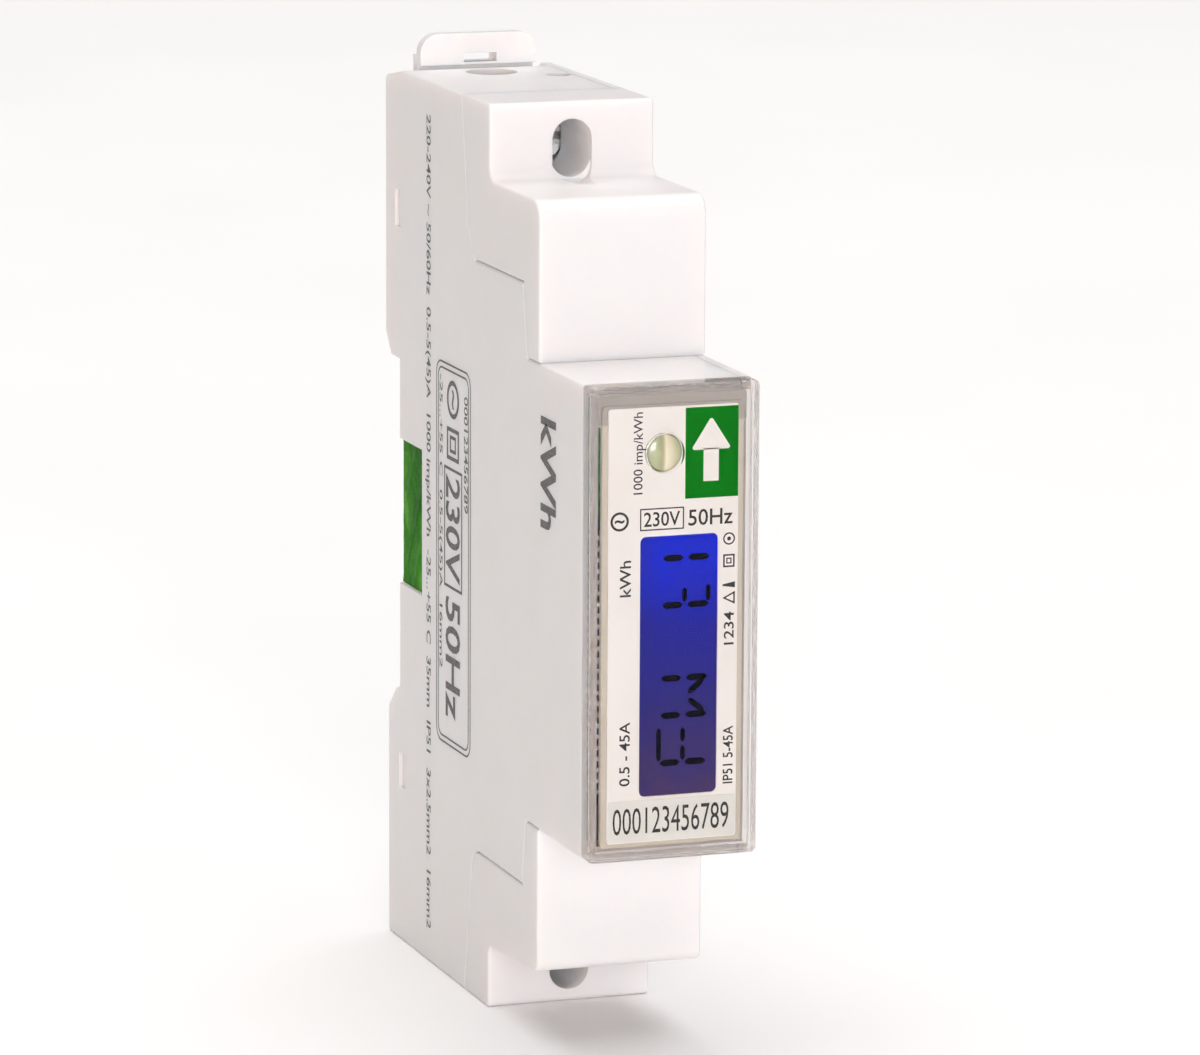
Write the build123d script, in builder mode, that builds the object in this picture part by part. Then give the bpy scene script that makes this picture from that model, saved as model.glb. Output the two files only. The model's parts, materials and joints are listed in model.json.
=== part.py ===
"""One-module DIN-rail electric meter, as an assembly of separate parts.

Frame: origin on the rail seat at the rail's centre line, +X to the right seen
from the front, +Y back towards the rail, +Z up. The front faces -Y.
All sizes are in millimetres.
"""

from build123d import *
import os

os.makedirs("parts", exist_ok=True)

# ---------------------------------------------------------------- driving dimensions
WIDTH = 17.5  # one module of a distribution board
HALF = WIDTH / 2
WALL = 1.2  # housing wall
SEAM = 0.07  # visible joint between two mouldings

RAIL_HEIGHT = 35.0  # top-hat rail, across its flanges
RAIL_THICK = 1.0
RECESS_HALF = RAIL_HEIGHT / 2 + 0.23  # rail recess, half height
HOOK_REACH = 1.7  # how far a hook reaches behind the flange
HOOK_GAP = 0.1  # free space between flange and hook
SEAT_RELIEF = 0.25  # seat drops back under the hooks

UPPER_REAR = 4.8  # rear plane above the rail
LOWER_REAR = 4.0  # rear plane below the rail
TOP = 48.4
TOP_REAR = 47.4  # top face falls to this at the rear edge
BOTTOM = -45.1
STEP_1 = -30.3  # front of the terminal faces
STEP_2 = -46.0  # front of the shoulders
BODY_FRONT = -59.2  # front rim of the centre body
WINDOW_FRONT = -61.75
SHELF_TOP = 40.67
SHELF_LOW_FRONT = -37.5
SHELF_LOW_REAR = -38.6
BODY_TOP = 24.55
BODY_LOW = -22.7

LEFT_INNER = -HALF + 1.15
COVER_THICK = 1.2  # right-hand side cover
COVER_INNER = HALF - COVER_THICK
SHELL_RIGHT = COVER_INNER - 0.05

# power terminals
AXIS_UP = 43.65
AXIS_LOW = -40.8
ACCESS_WIDE = 4.2  # screwdriver opening
ACCESS_TALL = 6.0
SCOOP_DEPTH = 0.75  # groove in the shelf under the opening
SCOOP_TILT = 6.0
THREAD_R = 2.5  # M5 terminal screw
HEAD_R = 2.8
HEAD_FRONT = -20.3
HEAD_THICK = 2.0
SCREW_TIP = -9.2
RUNNING = 0.05  # radial clearance of what turns or slides
CAGE_FRONT = -12.5
CAGE_REAR = -0.5
CAGE_HALF_WIDE = 4.2
CAGE_HALF_TALL = 3.1
CAGE_PLATE = 2.0
CAGE_SIDE = 1.0
CAGE_FOOT = 1.2
PARTITION_FRONT = -18.2
PARTITION_THICK = 1.2

WIRE_Y = -4.4  # centre of the power wire entry
WIRE_R = 2.7
SIDE_ENTRY_X = 5.9  # small entries beside the power wire
SIDE_ENTRY_R = 1.3
NEUTRAL_Y = -8.7
DATA_Y = (-5.2, -9.6)

BAR_FRONT = -8.6  # current bar
BAR_THICK = 1.2
BAR_HALF = 3.0

LATCH_HALF = 6.35
LATCH_FRONT = RAIL_THICK + HOOK_GAP
LATCH_THICK = 1.5
LATCH_TOP = 52.0
LATCH_CLEAR = 0.15
TAB_FOOT = 48.7
TAB_THICK = 1.5  # the pull tab stands in front of the latch plate
TAB_LAP = 1.0  # height over which tab and plate are joined
SPRING_LOW = 22.0
SPRING_HIGH = 33.9
SPRING_R = 1.2
SPRING_WIRE = 0.2

BOARD_LEFT = 3.9  # main circuit board, seen edge-on from the front
BOARD_THICK = 1.0
BOARD_RIGHT = BOARD_LEFT + BOARD_THICK

# display stack, front to back
WINDOW_SKIN = 0.67
WINDOW_SIDE = 0.9
PLATE_FRONT = -60.93
PLATE_THICK = 0.18
BEZEL_FRONT = PLATE_FRONT + PLATE_THICK + 0.01
BEZEL_THICK = 0.6
GLASS_STEP = -60.1
GLASS_REAR = -59.5
LCD_LEFT, LCD_RIGHT = -3.4, 4.67
LCD_LOW, LCD_HIGH = -16.4, 9.55
KEY_X, KEY_Z = -1.05, 17.8
KEY_R = 1.8
DISPLAY_BOARD_FRONT = -57.6

SEAL_LOW, SEAL_HIGH = -6.2, 9.4
SEAL_POCKET = 0.55
SEAL_THICK = 0.17


# ---------------------------------------------------------------- helpers
def save(part, name):
    """Label a finished piece and write it as its own STEP file."""
    part.label = name
    export_step(part, f"parts/{name}.step")


def block(x0, x1, y0, y1, z0, z1, mode=Mode.ADD):
    """A box between two corners, in the part being built."""
    with Locations(((x0 + x1) / 2, (y0 + y1) / 2, (z0 + z1) / 2)):
        return Box(x1 - x0, y1 - y0, z1 - z0, mode=mode)


def rod(x, y, z, radius, length, turn=(0, 0, 0), mode=Mode.ADD):
    """A cylinder centred on a point; its axis is Z before the turn."""
    with Locations(Location((x, y, z), turn)):
        return Cylinder(radius, length, mode=mode)


ALONG_X = (0, 90, 0)
ALONG_Y = (90, 0, 0)


# ---------------------------------------------------------------- side views
# Corners of each side view: (depth, height, corner radius), drawn in a YZ plane.
OUTLINE = (
    (UPPER_REAR, TOP_REAR, 0.8),
    (-1.0, TOP, 0),
    (STEP_1, TOP, 0.6),
    (STEP_1, SHELF_TOP, 1.5),
    (STEP_2, SHELF_TOP, 2.0),
    (STEP_2, BODY_TOP, 0),
    (BODY_FRONT, BODY_TOP, 0),
    (BODY_FRONT, BODY_LOW, 0),
    (STEP_2, BODY_LOW, 0),
    (STEP_2, SHELF_LOW_FRONT, 1.2),
    (STEP_1, SHELF_LOW_REAR, 1.0),
    (STEP_1, BOTTOM, 0.6),
    (LOWER_REAR, BOTTOM, 0.6),
    (LOWER_REAR, -20.2, 1.5),
    (1.2, -RECESS_HALF, 0.8),
    (0, -RECESS_HALF, 0),
    (0, RECESS_HALF, 0),
    (2.9, RECESS_HALF, 0.6),
    (UPPER_REAR, RECESS_HALF + 2.3, 0.4),
)
HOLLOW = (
    (-0.2, TOP - 1.25, 0),
    (STEP_1 + WALL, TOP - 1.25, 0),
    (STEP_1 + WALL, SHELF_TOP - WALL, 0),
    (STEP_2 + WALL, SHELF_TOP - WALL, 1.0),
    (STEP_2 + WALL, BODY_TOP - WALL, 0),
    (BODY_FRONT - 1, BODY_TOP - WALL, 0),
    (BODY_FRONT - 1, BODY_LOW + WALL, 0),
    (STEP_2 + WALL, BODY_LOW + WALL, 0),
    (STEP_2 + WALL, SHELF_LOW_FRONT + WALL, 0),
    (STEP_1 + WALL, SHELF_LOW_REAR + WALL, 0),
    (STEP_1 + WALL, BOTTOM + WALL, 0),
    (LOWER_REAR - WALL, BOTTOM + WALL, 0),
    (LOWER_REAR - WALL, -RECESS_HALF - 3.4, 0),
    (-WALL, -RECESS_HALF - 1.4, 0),
    (-WALL, RECESS_HALF + 1.4, 0),
    (-0.2, RECESS_HALF + 2.4, 0),
)
UPPER_SEAM_Z = 32.0
LOWER_SEAM_Z = -29.5


def upper_zone(gap=0.0):
    """Side view of what the top cover takes; its lower and rear edges are the visible seam."""
    return (
        (-21.0 + gap, TOP + 2, 0),
        (-23.3 + gap, 35.8, 3.0),
        (-25.6 + gap, UPPER_SEAM_Z - gap, 0),
        (-41.0 + gap, UPPER_SEAM_Z - gap, 0),
        (-42.3 + gap, BODY_TOP - gap, 0),
        (STEP_2 - gap, BODY_TOP - gap, 0),
        (STEP_2 - gap, TOP + 2, 0),
    )


def lower_zone(gap=0.0):
    """Side view of what the bottom cover takes."""
    return (
        (-22.0 + gap, BOTTOM - 2, 0),
        (-25.2 + gap, LOWER_SEAM_Z + gap, 2.0),
        (-41.1 + gap, LOWER_SEAM_Z + gap, 0),
        (-42.3 + gap, BODY_LOW + gap, 0),
        (STEP_2 - gap, BODY_LOW + gap, 0),
        (STEP_2 - gap, BOTTOM - 2, 0),
    )


def draw(corners, mode=Mode.ADD):
    """A closed face with rounded corners, in the sketch being built."""
    points = [corner[:2] for corner in corners]
    radii = [corner[2] for corner in corners]
    with BuildLine() as rim:
        FilletPolyline(*points, radius=radii, close=True)
    make_face(rim.edges(), mode=mode)


def draw_body_side():
    """The stepped outline without the two end covers."""
    draw(OUTLINE)
    draw(upper_zone(SEAM), Mode.SUBTRACT)
    draw(lower_zone(SEAM), Mode.SUBTRACT)


# ---------------------------------------------------------------- housing
def soften_side(direction, radius):
    """Round the whole rim of the side wall at one end, along X, of the part being built."""
    side = faces().filter_by(Axis.X).sort_by(Axis.X)[0 if direction < 0 else -1]
    fillet(side.outer_wire().edges(), radius)


def terminal_walls(axis_z, inward):
    """Partition that carries the screw, its collar, and the chamber floor."""
    floor_z = axis_z + inward * (CAGE_HALF_TALL + 2.2)
    wall_z = axis_z - inward * (CAGE_HALF_TALL + 0.6)
    low, high = sorted((floor_z, wall_z))
    rear = PARTITION_FRONT + PARTITION_THICK
    block(LEFT_INNER - 0.1, SHELL_RIGHT, PARTITION_FRONT, rear, low, high)
    rod(0, PARTITION_FRONT - 1.1, axis_z, HEAD_R + 0.9, 2.2, ALONG_Y)
    rod(0, PARTITION_FRONT - 1.11, axis_z, HEAD_R + 0.2, 2.22, ALONG_Y, Mode.SUBTRACT)
    rod(0, PARTITION_FRONT, axis_z, THREAD_R + RUNNING, 8, ALONG_Y, Mode.SUBTRACT)
    low, high = sorted((floor_z, floor_z + inward * 1.0))
    block(LEFT_INNER - 0.1, SHELL_RIGHT, PARTITION_FRONT, -0.9, low, high)
    bar_rear = BAR_FRONT + BAR_THICK
    bar_slot = BAR_HALF + 0.2
    block(-bar_slot, bar_slot, BAR_FRONT - 0.2, bar_rear + 0.2, low - 1, high + 1, Mode.SUBTRACT)
    block(4.6, 7.2, BAR_FRONT - 2.6, -2.8, low - 1, high + 1, Mode.SUBTRACT)


BOSSES = ((-4.2, 12.0), (-4.2, -12.0), (-50.0, 21.0), (-50.0, -19.2))

with BuildPart() as main_housing:
    with BuildSketch(Plane.YZ.offset(-HALF)):
        draw_body_side()
    extrude(amount=HALF + SHELL_RIGHT)
    soften_side(-1, 0.3)
    with BuildSketch(Plane.YZ.offset(LEFT_INNER)):
        draw(HOLLOW)
    extrude(amount=WIDTH, mode=Mode.SUBTRACT)
    # bosses for the side cover's pins
    with BuildSketch(Plane.YZ.offset(LEFT_INNER - 0.1)):
        with Locations(*BOSSES):
            Circle(1.9)
    extrude(amount=11.4)
    with BuildSketch(Plane.YZ.offset(-1.0)):
        with Locations(*BOSSES):
            Circle(1.0 + RUNNING)
    extrude(amount=8, mode=Mode.SUBTRACT)
    terminal_walls(AXIS_UP, -1)
    terminal_walls(AXIS_LOW, 1)
    # slot for the latch plate, open above and below
    slot_front = LATCH_FRONT - LATCH_CLEAR
    slot_rear = LATCH_FRONT + LATCH_THICK + LATCH_CLEAR
    slot_half = LATCH_HALF + LATCH_CLEAR
    block(-slot_half, slot_half, slot_front, slot_rear, RECESS_HALF - 2, TOP + 2, Mode.SUBTRACT)
    spring_y = LATCH_FRONT + LATCH_THICK / 2
    pocket = SPRING_R + SPRING_WIRE + 0.2
    pocket_box = (-pocket, pocket, spring_y - pocket, spring_y + pocket, SPRING_LOW - 0.3, SPRING_HIGH + 0.1)
    block(*pocket_box, Mode.SUBTRACT)
    block(-1.5, 1.5, slot_front - 0.2, slot_rear + 0.2, SPRING_HIGH + 0.1, SPRING_HIGH + 1.5)
    # fixed hook below the rail, and the seat's relief under both hooks
    hook_front = RAIL_THICK + HOOK_GAP
    with BuildSketch(Plane.YZ.offset(-slot_half)):
        with BuildLine():
            Polyline(
                (hook_front, -RECESS_HALF - 1.2),
                (hook_front, -RECESS_HALF + HOOK_REACH),
                (hook_front + 0.5, -RECESS_HALF + HOOK_REACH),
                (hook_front + 2.0, -RECESS_HALF),
                (hook_front + 2.0, -RECESS_HALF - 2.4),
                close=True,
            )
        make_face()
    extrude(amount=2 * slot_half)
    relief = RECESS_HALF - HOOK_REACH - 0.3
    for low, high in ((relief, RECESS_HALF), (-RECESS_HALF, -relief)):
        block(-HALF - 1, HALF, -SEAT_RELIEF, 0.02, low, high, Mode.SUBTRACT)
    # wire entries through the top and bottom walls
    rod(0, WIRE_Y, TOP, WIRE_R, 4, mode=Mode.SUBTRACT)
    rod(0, WIRE_Y, BOTTOM, WIRE_R, 4, mode=Mode.SUBTRACT)
    rod(SIDE_ENTRY_X, NEUTRAL_Y, TOP, SIDE_ENTRY_R, 4, mode=Mode.SUBTRACT)
    for data_y in DATA_Y:
        rod(SIDE_ENTRY_X, data_y, BOTTOM, SIDE_ENTRY_R, 4, mode=Mode.SUBTRACT)
    # pocket and port under the seal, and two shallow marks on the left wall
    block(-HALF - 1, -HALF + SEAL_POCKET, -7.9, 1, SEAL_LOW, SEAL_HIGH, Mode.SUBTRACT)
    block(-HALF, -HALF + 2, -6.0, -2.4, -1.0, 4.6, Mode.SUBTRACT)
    block(-HALF - 1, -HALF + 0.4, -0.7, 1.3, 31.8, 35.8, Mode.SUBTRACT)
    block(-HALF - 1, -HALF + 0.4, -2.1, 0.0, -28.4, -24.5, Mode.SUBTRACT)
save(main_housing.part, "main_housing")

with BuildPart() as right_side_cover:
    with BuildSketch(Plane.YZ.offset(COVER_INNER)):
        draw_body_side()
    extrude(amount=COVER_THICK)
    soften_side(1, 0.3)
    # low crest on the top rear corner, where the cover stands above the housing's falling top face
    with BuildSketch(Plane.YZ.offset(COVER_INNER)):
        draw(((-1.4, TOP - 1.5, 0), (-1.4, TOP, 0), (1.9, TOP, 0.5), (4.2, TOP_REAR - 0.6, 0)))
    extrude(amount=COVER_THICK - 0.3)
    for low, high in ((relief, RECESS_HALF), (-RECESS_HALF, -relief)):
        block(0, HALF + 1, -SEAT_RELIEF, 0.02, low, high, Mode.SUBTRACT)
    with BuildSketch(Plane.YZ.offset(COVER_INNER + 0.1)):
        with Locations(*BOSSES):
            Circle(1.0)
    extrude(amount=-6.4)
save(right_side_cover.part, "right_side_cover")


# ---------------------------------------------------------------- terminal covers
def cover_inside(axis_z, end_z, shelf_z, seam_z, inward):
    """Screwdriver guide, its opening, the scoop in the shelf, and the tongues that hold the cover."""
    guide_low, guide_high = sorted((end_z + inward * 0.05, axis_z + inward * (ACCESS_TALL / 2 + 1.0)))
    block(-3.5, 3.5, STEP_1 + 0.6, HEAD_FRONT - 0.3, guide_low, guide_high)
    with BuildSketch(Plane.XZ.offset(-STEP_1 + 1)) as opening:
        with Locations((0, axis_z)):
            SlotOverall(ACCESS_TALL, ACCESS_WIDE, rotation=90)
    extrude(opening.sketch, amount=-14, mode=Mode.SUBTRACT)
    # shallow half-round scoop that runs out forwards along the shelf
    scoop_z = shelf_z - inward * (ACCESS_WIDE / 2 - SCOOP_DEPTH)
    with Locations(Location((0, STEP_1 + 0.6, scoop_z), (90 + inward * SCOOP_TILT, 0, 0))):
        Cylinder(ACCESS_WIDE / 2, 10, align=(Align.CENTER, Align.CENTER, Align.MIN), mode=Mode.SUBTRACT)
    low, high = sorted((seam_z - inward * 3.0, seam_z + inward * 2.0))
    for side in (-1, 1):
        near, far = sorted((side * (HALF - 1.22), side * (HALF - 1.9)))
        block(near, far, -33.0, -27.5, low, high)


def build_cover(zone, axis_z, end_z, shelf_z, seam_z, inward):
    """The stepped outline inside one zone, full width, hollowed from behind."""
    with BuildSketch(Plane.YZ.offset(-HALF)) as side:
        draw(OUTLINE)
        draw(zone, Mode.INTERSECT)
    extrude(side.sketch, amount=WIDTH)
    for direction in (-1, 1):
        soften_side(direction, 0.3)
    with BuildSketch(Plane.YZ.offset(-HALF + 1.25)) as hollow:
        draw(HOLLOW)
    extrude(hollow.sketch, amount=WIDTH - 2.5, mode=Mode.SUBTRACT)
    cover_inside(axis_z, end_z, shelf_z, seam_z, inward)


with BuildPart() as top_terminal_cover:
    build_cover(upper_zone(), AXIS_UP, TOP - 1.25, SHELF_TOP, UPPER_SEAM_Z, -1)
save(top_terminal_cover.part, "top_terminal_cover")

with BuildPart() as bottom_terminal_cover:
    build_cover(lower_zone(), AXIS_LOW, BOTTOM + WALL, SHELF_LOW_REAR, LOWER_SEAM_Z, 1)
save(bottom_terminal_cover.part, "bottom_terminal_cover")


# ---------------------------------------------------------------- front window and display
def plate(y_front, y_rear, x0, x1, z0, z1, radius=0.0):
    """A flat piece parallel to the front, with rounded corners if asked."""
    with BuildSketch(Plane.XZ.offset(-y_rear)) as outline:
        with Locations(((x0 + x1) / 2, (z0 + z1) / 2)):
            if radius:
                RectangleRounded(x1 - x0, z1 - z0, radius)
            else:
                Rectangle(x1 - x0, z1 - z0)
    extrude(outline.sketch, amount=y_rear - y_front)


def window_cut(y_front, y_rear, margin, key_radius, radius=0.6):
    """Openings for the display and the key through a flat front piece."""
    with BuildSketch(Plane.XZ.offset(-y_rear)) as openings:
        with Locations(((LCD_LEFT + LCD_RIGHT) / 2, (LCD_LOW + LCD_HIGH) / 2)):
            RectangleRounded(LCD_RIGHT - LCD_LEFT + 2 * margin, LCD_HIGH - LCD_LOW + 2 * margin, radius)
        with Locations((KEY_X, KEY_Z)):
            Circle(key_radius)
    extrude(openings.sketch, amount=y_rear - y_front + 1, both=True, mode=Mode.SUBTRACT)


with BuildPart() as clear_window:
    block(-HALF, HALF, WINDOW_FRONT, BODY_FRONT, BODY_LOW, BODY_TOP)
    fillet(clear_window.edges().filter_by(Axis.Y), 0.5)
    fillet(clear_window.faces().sort_by(Axis.Y)[0].edges(), 0.45)
    block(
        -HALF + WINDOW_SIDE,
        HALF - WINDOW_SIDE,
        WINDOW_FRONT + WINDOW_SKIN,
        BODY_FRONT + 1,
        BODY_LOW + WINDOW_SIDE,
        BODY_TOP - WINDOW_SIDE,
        Mode.SUBTRACT,
    )
    rod(KEY_X, WINDOW_FRONT, KEY_Z, KEY_R + 0.15, 4, ALONG_Y, Mode.SUBTRACT)
save(clear_window.part, "clear_window")

with BuildPart() as faceplate:
    plate(PLATE_FRONT, PLATE_FRONT + PLATE_THICK, -6.72, 6.72, -20.95, 22.3, 0.3)
    window_cut(PLATE_FRONT, PLATE_FRONT + PLATE_THICK, 0, KEY_R + 0.15)
save(faceplate.part, "faceplate")

with BuildPart() as serial_label:
    plate(PLATE_FRONT - 0.1, PLATE_FRONT, -6.62, 6.62, -20.85, -16.7, 0.2)
save(serial_label.part, "serial_label")

with BuildPart() as display_bezel:
    plate(BEZEL_FRONT, BEZEL_FRONT + BEZEL_THICK, -7.3, 7.3, -21.4, 22.55, 0.4)
    # ledge set back behind the label that closes the gap to the top of the window
    plate(BEZEL_FRONT + BEZEL_THICK / 2, BEZEL_FRONT + BEZEL_THICK, -7.7, 7.7, 20.5, 23.5, 0.3)
    window_cut(BEZEL_FRONT, BEZEL_FRONT + BEZEL_THICK, 0.25, KEY_R + 0.75)
save(display_bezel.part, "display_bezel")

with BuildPart() as lcd_glass:
    plate(GLASS_STEP, GLASS_REAR, -7.1, 6.6, -16.7, 10.9)
    plate(-60.7, GLASS_STEP, LCD_LEFT - 0.15, LCD_RIGHT + 0.15, LCD_LOW - 0.15, LCD_HIGH + 0.15, 0.4)
save(lcd_glass.part, "lcd_glass")

with BuildPart() as lcd_light_guide:
    plate(GLASS_REAR + 0.05, DISPLAY_BOARD_FRONT - 0.05, -6.5, 6.3, -16.5, 10.2, 0.5)
save(lcd_light_guide.part, "lcd_light_guide")

PIN_COUNT = 24
PIN_PITCH = 1.1
with BuildPart() as lcd_pins:
    for row in range(PIN_COUNT):
        pin_z = -3.1 + (row - (PIN_COUNT - 1) / 2) * PIN_PITCH
        block(-7.5, -7.12, GLASS_STEP, DISPLAY_BOARD_FRONT, pin_z - 0.22, pin_z + 0.22)
save(lcd_pins.part, "lcd_pins")

with BuildPart() as backlight_leds:
    for led_x in (-3.0, 3.0):
        block(led_x - 1.0, led_x + 1.0, -59.0, -58.1, 10.25, 10.95)
save(backlight_leds.part, "backlight_leds")

with BuildPart() as key_board:
    plate(GLASS_STEP, -59.3, -7.6, 7.4, 11.3, 22.8, 0.3)
    rod(KEY_X, -59.7, KEY_Z, 1.0, 4, ALONG_Y, Mode.SUBTRACT)
save(key_board.part, "key_board")

with BuildPart() as display_board:
    plate(DISPLAY_BOARD_FRONT, DISPLAY_BOARD_FRONT + 1.0, -7.45, 7.3, -21.2, 23.0, 0.3)
save(display_board.part, "display_board")

with BuildPart() as display_connector:
    block(-7.6, -6.2, -60.1, DISPLAY_BOARD_FRONT, -20.3, -16.9)
    block(-7.1, -6.7, -60.2, -59.4, -19.8, -17.4, Mode.SUBTRACT)
save(display_connector.part, "display_connector")

with BuildPart() as board_link:
    for link_z in (12.6, 21.6):
        block(3.4, 6.0, -59.3, DISPLAY_BOARD_FRONT, link_z - 0.5, link_z + 0.5)
save(board_link.part, "board_link")

# key: a domed translucent button with a retaining flange and a stem
KEY_FLANGE_FRONT = BEZEL_FRONT + 0.02
KEY_FLANGE_REAR = KEY_FLANGE_FRONT + 0.3
KEY_FRONT = WINDOW_FRONT + 0.05
KEY_STEM_END = -58.95
with BuildPart() as scroll_button:
    rod(KEY_X, (KEY_FRONT + KEY_FLANGE_FRONT) / 2, KEY_Z, KEY_R, KEY_FLANGE_FRONT - KEY_FRONT, ALONG_Y)
    fillet(scroll_button.faces().sort_by(Axis.Y)[0].edges(), 0.4)
    rod(KEY_X, (KEY_FLANGE_FRONT + KEY_FLANGE_REAR) / 2, KEY_Z, KEY_R + 0.5, 0.3, ALONG_Y)
    rod(KEY_X, (KEY_FLANGE_REAR + KEY_STEM_END) / 2, KEY_Z, 0.8, KEY_STEM_END - KEY_FLANGE_REAR, ALONG_Y)
save(scroll_button.part, "scroll_button")

with BuildPart() as tact_switch:
    block(KEY_X - 2.2, KEY_X + 2.2, -58.6, DISPLAY_BOARD_FRONT - 0.02, KEY_Z - 2.2, KEY_Z + 2.2)
    fillet(tact_switch.edges().filter_by(Axis.Y), 0.4)
save(tact_switch.part, "tact_switch")

with BuildPart() as pulse_led:
    block(KEY_X + 1.1, KEY_X + 2.7, -59.28, -58.75, KEY_Z - 0.4, KEY_Z + 0.4)
save(pulse_led.part, "pulse_led")


# ---------------------------------------------------------------- power terminals
def build_screw(axis_z):
    """Combination-head terminal screw that turns in place."""
    shank_front = HEAD_FRONT + HEAD_THICK
    rod(0, HEAD_FRONT + HEAD_THICK / 2, axis_z, HEAD_R, HEAD_THICK, ALONG_Y)
    chamfer(edges(Select.LAST).group_by(Axis.Y)[0], 0.35)
    rod(0, (shank_front + SCREW_TIP) / 2, axis_z, THREAD_R, SCREW_TIP - shank_front, ALONG_Y)
    chamfer(faces().sort_by(Axis.Y)[-1].edges(), 0.5)
    block(-3, 3, HEAD_FRONT - 1, HEAD_FRONT + 0.9, axis_z - 0.4, axis_z + 0.4, Mode.SUBTRACT)
    block(-0.4, 0.4, HEAD_FRONT - 1, HEAD_FRONT + 1.2, axis_z - 1.6, axis_z + 1.6, Mode.SUBTRACT)


def build_cage(axis_z):
    """Rising clamp: a ring of steel with a tapped front plate, open along Z for the wire."""
    low, high = axis_z - CAGE_HALF_TALL, axis_z + CAGE_HALF_TALL
    block(-CAGE_HALF_WIDE, CAGE_HALF_WIDE, CAGE_FRONT, CAGE_REAR, low, high)
    fillet(edges().filter_by(Axis.Z), 0.7)
    inner = CAGE_HALF_WIDE - CAGE_SIDE
    block(-inner, inner, CAGE_FRONT + CAGE_PLATE, CAGE_REAR - CAGE_FOOT, low - 1, high + 1, Mode.SUBTRACT)
    rod(0, CAGE_FRONT, axis_z, THREAD_R + RUNNING, 5, ALONG_Y, Mode.SUBTRACT)


with BuildPart() as top_terminal_screw:
    build_screw(AXIS_UP)
save(top_terminal_screw.part, "top_terminal_screw")

with BuildPart() as bottom_terminal_screw:
    build_screw(AXIS_LOW)
save(bottom_terminal_screw.part, "bottom_terminal_screw")

with BuildPart() as top_clamp_cage:
    build_cage(AXIS_UP)
save(top_clamp_cage.part, "top_clamp_cage")

with BuildPart() as bottom_clamp_cage:
    build_cage(AXIS_LOW)
save(bottom_clamp_cage.part, "bottom_clamp_cage")

SHUNT_LOW, SHUNT_HIGH = 1.0, 9.0
bar_back = BAR_FRONT + BAR_THICK
with BuildPart() as top_busbar:
    block(-BAR_HALF, BAR_HALF, BAR_FRONT, bar_back, SHUNT_HIGH, AXIS_UP + CAGE_HALF_TALL)
    fillet(top_busbar.edges().filter_by(Axis.Y).group_by(Axis.Z)[-1], 0.8)
save(top_busbar.part, "top_busbar")

with BuildPart() as bottom_busbar:
    block(-BAR_HALF, BAR_HALF, BAR_FRONT, bar_back, AXIS_LOW - CAGE_HALF_TALL, SHUNT_LOW)
    fillet(bottom_busbar.edges().filter_by(Axis.Y).group_by(Axis.Z)[0], 0.8)
save(bottom_busbar.part, "bottom_busbar")

with BuildPart() as shunt:
    block(-BAR_HALF, BAR_HALF, BAR_FRONT, bar_back, SHUNT_LOW, SHUNT_HIGH)
    notch = (-BAR_HALF - 1, -BAR_HALF + 1.4, BAR_FRONT - 1, bar_back + 1, SHUNT_LOW + 2, SHUNT_HIGH - 2)
    block(*notch, Mode.SUBTRACT)
    for lug_z in (SHUNT_LOW + 0.8, SHUNT_HIGH - 0.8):
        block(BAR_HALF - 0.1, BOARD_LEFT, BAR_FRONT - 3.2, bar_back, lug_z - 0.4, lug_z + 0.4)
save(shunt.part, "shunt")


def build_push_clamp(y, wall_z, inward, board_y, rise):
    """Push-in spring clamp: a bent steel loop with a slanted leaf, and a tail soldered to the board."""
    mouth = wall_z + inward * 0.5
    foot = wall_z + inward * 7.5
    with BuildSketch(Plane.YZ.offset(SIDE_ENTRY_X - 1.0)) as strip:
        with BuildLine() as bend:
            Polyline(
                (y - 2.0, mouth),
                (y - 2.0, foot),
                (y + 2.0, foot),
                (y + 2.0, mouth + inward * 1.2),
                (y - 0.4, foot - inward * 2.6),
            )
        trace(bend.edges(), line_width=0.4)
    extrude(strip.sketch, amount=2.0)
    turn_z = foot + inward * rise
    board_z = -inward * 31.0
    tail_x = BOARD_RIGHT + 0.4
    for y0, y1, z0, z1 in (
        (y - 0.2, y + 0.2, foot, turn_z),
        (board_y, y + 0.2, turn_z - 0.2, turn_z + 0.2),
        (board_y, board_y + 0.4, turn_z, board_z),
    ):
        block(BOARD_RIGHT, tail_x, y0, y1, min(z0, z1), max(z0, z1))


with BuildPart() as neutral_clamp:
    build_push_clamp(NEUTRAL_Y, TOP - 1.25, -1, -13.0, 3.4)
save(neutral_clamp.part, "neutral_clamp")

with BuildPart() as data_clamps:
    for data_y, board_y, rise in zip(DATA_Y, (-12.6, -14.2), (4.6, 3.4)):
        build_push_clamp(data_y, BOTTOM + WALL, 1, board_y, rise)
save(data_clamps.part, "data_clamps")


# ---------------------------------------------------------------- rail latch
with BuildPart() as din_latch:
    latch_rear = LATCH_FRONT + LATCH_THICK
    lip = RECESS_HALF - HOOK_REACH
    block(-LATCH_HALF, LATCH_HALF, LATCH_FRONT, latch_rear, lip, TAB_FOOT + TAB_LAP)
    block(-LATCH_HALF, LATCH_HALF, 0, TAB_THICK, TAB_FOOT, LATCH_TOP)
    fillet(din_latch.edges().filter_by(Axis.Y).group_by(Axis.Z)[-1], 2.0)
    chamfer(din_latch.edges().filter_by(Axis.X).group_by(Axis.Z)[0].sort_by(Axis.Y)[-1], 0.9)
    block(-1.6, 2.0, -1, 4, TAB_FOOT + 0.25, TAB_FOOT + 1.2, Mode.SUBTRACT)
    block(-1.75, 1.75, 0, 4, SPRING_LOW - 0.2, SPRING_HIGH + 1.7, Mode.SUBTRACT)
save(din_latch.part, "din_latch")

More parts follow.
